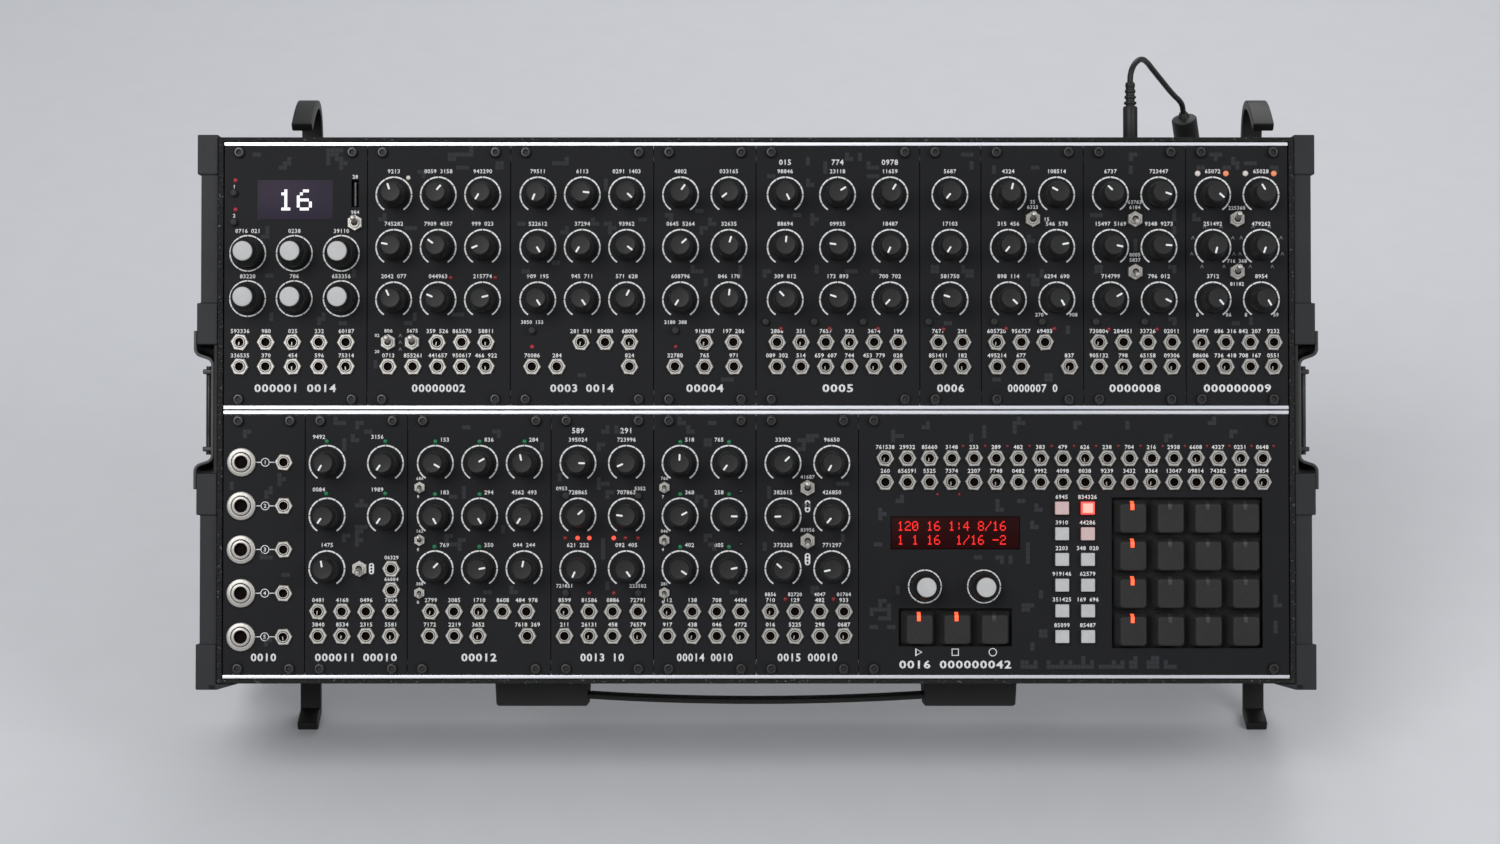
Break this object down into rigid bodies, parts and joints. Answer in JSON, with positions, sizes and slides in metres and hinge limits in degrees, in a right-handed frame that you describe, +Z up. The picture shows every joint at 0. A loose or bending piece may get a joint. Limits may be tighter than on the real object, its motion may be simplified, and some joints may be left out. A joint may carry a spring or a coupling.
{
  "type": "modular synthesizer",
  "caption": "Two-row modular synthesizer in a carrying case that leans back on a folding stand, with knobs, jacks, a display, keys and a short power lead.",
  "frame": {"origin": "under the middle of the object, on the surface it stands on, the lead left out", "axes": "+X to the player's right along the module rows, -Y towards the player, +Z up; the panels lean back 30 degrees"},
  "size_m": [0.5588, 0.2489, 0.3234],
  "materials": {
    "textured_case": "finely pebbled black plastic",
    "moulded_cheek": "satin dark grey moulding",
    "rail_aluminium": "extruded, clear anodised",
    "dark_sheet": "satin powder coat",
    "steel_rod": "plated wire",
    "stand_metal": "satin powder coat",
    "strap_black": "matte elastomer",
    "lead_black": "satin elastomer",
    "board_green": "solder-masked laminate",
    "panel_black": "satin black panel",
    "knob_black": "soft matte knob",
    "encoder_grey": "satin grey cap",
    "key_black": "matte keycap",
    "frosted_button": "frosted translucent",
    "display_lens": "tinted window",
    "nickel_plate": "nickel plate"
  },
  "bodies": {
    "case": {"case_shell": "textured_case", "cheek_left": "moulded_cheek", "cheek_right": "moulded_cheek", "upper_rail_top": "rail_aluminium", "upper_rail_bottom": "rail_aluminium", "lower_rail_top": "rail_aluminium", "lower_rail_bottom": "rail_aluminium", "dish_left": "dark_sheet", "dish_right": "dark_sheet", "strap_band": "strap_black", "strap_cap_left": "strap_black", "strap_cap_right": "strap_black", "stand_arm_left": "stand_metal", "stand_arm_right": "stand_metal", "lead_plug": "lead_black", "lead_cord": "lead_black", "lead_socket": "lead_black", "power_board": "board_green", "display_window": "display_lens", "sampler_panel": "panel_black", "voice_panel": "panel_black", "drum_panel": "panel_black", "filter_panel": "panel_black", "envelope_panel": "panel_black", "gate_panel": "panel_black", "slope_panel": "panel_black", "burst_panel": "panel_black", "wave_panel": "panel_black", "link_panel": "panel_black", "mixer_panel": "panel_black", "shaper_panel": "panel_black", "switch_panel": "panel_black", "level_panel": "panel_black", "delay_panel": "panel_black", "sequencer_panel": "panel_black"},
    "sampler_encoder": {"sampler_encoder": "encoder_grey"},
    "voice_knob": {"voice_knob": "knob_black"},
    "drum_knob": {"drum_knob": "knob_black"},
    "filter_knob": {"filter_knob": "knob_black"},
    "envelope_knob": {"envelope_knob": "knob_black"},
    "gate_knob": {"gate_knob": "knob_black"},
    "slope_knob": {"slope_knob": "knob_black"},
    "burst_knob": {"burst_knob": "knob_black"},
    "wave_knob": {"wave_knob": "knob_black"},
    "mixer_knob": {"mixer_knob": "knob_black"},
    "shaper_knob": {"shaper_knob": "knob_black"},
    "switch_knob": {"switch_knob": "knob_black"},
    "level_knob": {"level_knob": "knob_black"},
    "delay_knob": {"delay_knob": "knob_black"},
    "sequencer_encoder": {"sequencer_encoder": "encoder_grey"},
    "wave_toggle_lever": {"wave_toggle_lever": "nickel_plate"},
    "envelope_button": {"envelope_button": "key_black"},
    "transport_key": {"transport_key": "key_black"},
    "step_key": {"step_key": "key_black"},
    "square_button": {"square_button": "frosted_button"},
    "bail_left": {"bail_left": "steel_rod"},
    "bail_right": {"bail_right": "steel_rod"},
    "prop": {"prop_leg_left": "stand_metal", "prop_leg_right": "stand_metal", "prop_bar": "stand_metal"}
  },
  "joints": [
    {"name": "sampler_encoder_turn", "type": "hinge", "parent": "case", "child": "sampler_encoder", "pos_m": [-0.25235, -0.02224, 0.26044], "axis": [0, 0.866, -0.5], "continuous": true},
    {"name": "voice_knob_turn", "type": "hinge", "parent": "case", "child": "voice_knob", "pos_m": [-0.17988, -0.00769, 0.28565], "axis": [0, 0.866, -0.5], "range_deg": [-132, 168]},
    {"name": "drum_knob_turn", "type": "hinge", "parent": "case", "child": "drum_knob", "pos_m": [-0.08629, -0.00769, 0.28565], "axis": [0, 0.866, -0.5], "range_deg": [-246, 54]},
    {"name": "filter_knob_turn", "type": "hinge", "parent": "case", "child": "filter_knob", "pos_m": [-0.03749, -0.00769, 0.28565], "axis": [0, 0.866, -0.5], "range_deg": [-187, 113]},
    {"name": "envelope_knob_turn", "type": "hinge", "parent": "case", "child": "envelope_knob", "pos_m": [0.04048, -0.00769, 0.28565], "axis": [0, 0.866, -0.5], "range_deg": [-208, 92]},
    {"name": "gate_knob_turn", "type": "hinge", "parent": "case", "child": "gate_knob", "pos_m": [0.09628, -0.03379, 0.24044], "axis": [0, 0.866, -0.5], "range_deg": [-77, 223]},
    {"name": "slope_knob_turn", "type": "hinge", "parent": "case", "child": "slope_knob", "pos_m": [0.12527, -0.00769, 0.28565], "axis": [0, 0.866, -0.5], "range_deg": [-164, 136]},
    {"name": "burst_knob_turn", "type": "hinge", "parent": "case", "child": "burst_knob", "pos_m": [0.17602, -0.00769, 0.28565], "axis": [0, 0.866, -0.5], "range_deg": [-103, 197]},
    {"name": "wave_knob_turn", "type": "hinge", "parent": "case", "child": "wave_knob", "pos_m": [0.2508, -0.00769, 0.28565], "axis": [0, 0.866, -0.5], "range_deg": [-119, 181]},
    {"name": "mixer_knob_turn", "type": "hinge", "parent": "case", "child": "mixer_knob", "pos_m": [-0.2126, -0.10046, 0.12495], "axis": [0, 0.866, -0.5], "range_deg": [-141, 159]},
    {"name": "shaper_knob_turn", "type": "hinge", "parent": "case", "child": "shaper_knob", "pos_m": [-0.13702, -0.07437, 0.17016], "axis": [0, 0.866, -0.5], "range_deg": [-210, 90]},
    {"name": "switch_knob_turn", "type": "hinge", "parent": "case", "child": "switch_knob", "pos_m": [-0.08829, -0.07437, 0.17016], "axis": [0, 0.866, -0.5], "range_deg": [-242, 58]},
    {"name": "level_knob_turn", "type": "hinge", "parent": "case", "child": "level_knob", "pos_m": [-0.03764, -0.07437, 0.17016], "axis": [0, 0.866, -0.5], "range_deg": [-152, 148]},
    {"name": "delay_knob_turn", "type": "hinge", "parent": "case", "child": "delay_knob", "pos_m": [0.01336, -0.07437, 0.17016], "axis": [0, 0.866, -0.5], "range_deg": [-194, 106]},
    {"name": "sequencer_encoder_turn", "type": "hinge", "parent": "case", "child": "sequencer_encoder", "pos_m": [0.08364, -0.10486, 0.11733], "axis": [0, 0.866, -0.5], "continuous": true},
    {"name": "wave_toggle_flip", "type": "hinge", "parent": "case", "child": "wave_toggle_lever", "pos_m": [0.23876, -0.00799, 0.27173], "axis": [1, 0, 0], "range_deg": [0, 26]},
    {"name": "envelope_button_press", "type": "slide", "parent": "case", "child": "envelope_button", "axis": [0, 0.866, -0.5], "range_m": [0, 0.0008], "stiffness_N_per_m": 400, "springref_m": -0.0008},
    {"name": "transport_key_press", "type": "slide", "parent": "case", "child": "transport_key", "axis": [0, 0.866, -0.5], "range_m": [0, 0.003], "stiffness_N_per_m": 150, "springref_m": -0.002},
    {"name": "step_key_press", "type": "slide", "parent": "case", "child": "step_key", "axis": [0, 0.866, -0.5], "range_m": [0, 0.003], "stiffness_N_per_m": 150, "springref_m": -0.002},
    {"name": "square_button_press", "type": "slide", "parent": "case", "child": "square_button", "axis": [0, 0.866, -0.5], "range_m": [0, 0.0006], "stiffness_N_per_m": 500, "springref_m": -0.0006},
    {"name": "bail_left_swing", "type": "hinge", "parent": "case", "child": "bail_left", "pos_m": [-0.27336, -0.04381, 0.18309], "axis": [0, 0.5, 0.866], "range_deg": [0, 100]},
    {"name": "bail_right_swing", "type": "hinge", "parent": "case", "child": "bail_right", "pos_m": [0.27336, -0.04381, 0.18309], "axis": [0, -0.5, -0.866], "range_deg": [0, 100]},
    {"name": "prop_fold", "type": "hinge", "parent": "case", "child": "prop", "pos_m": [0, 0.07063, 0.1863], "axis": [1, 0, 0], "range_deg": [-42, 0]}
  ]
}
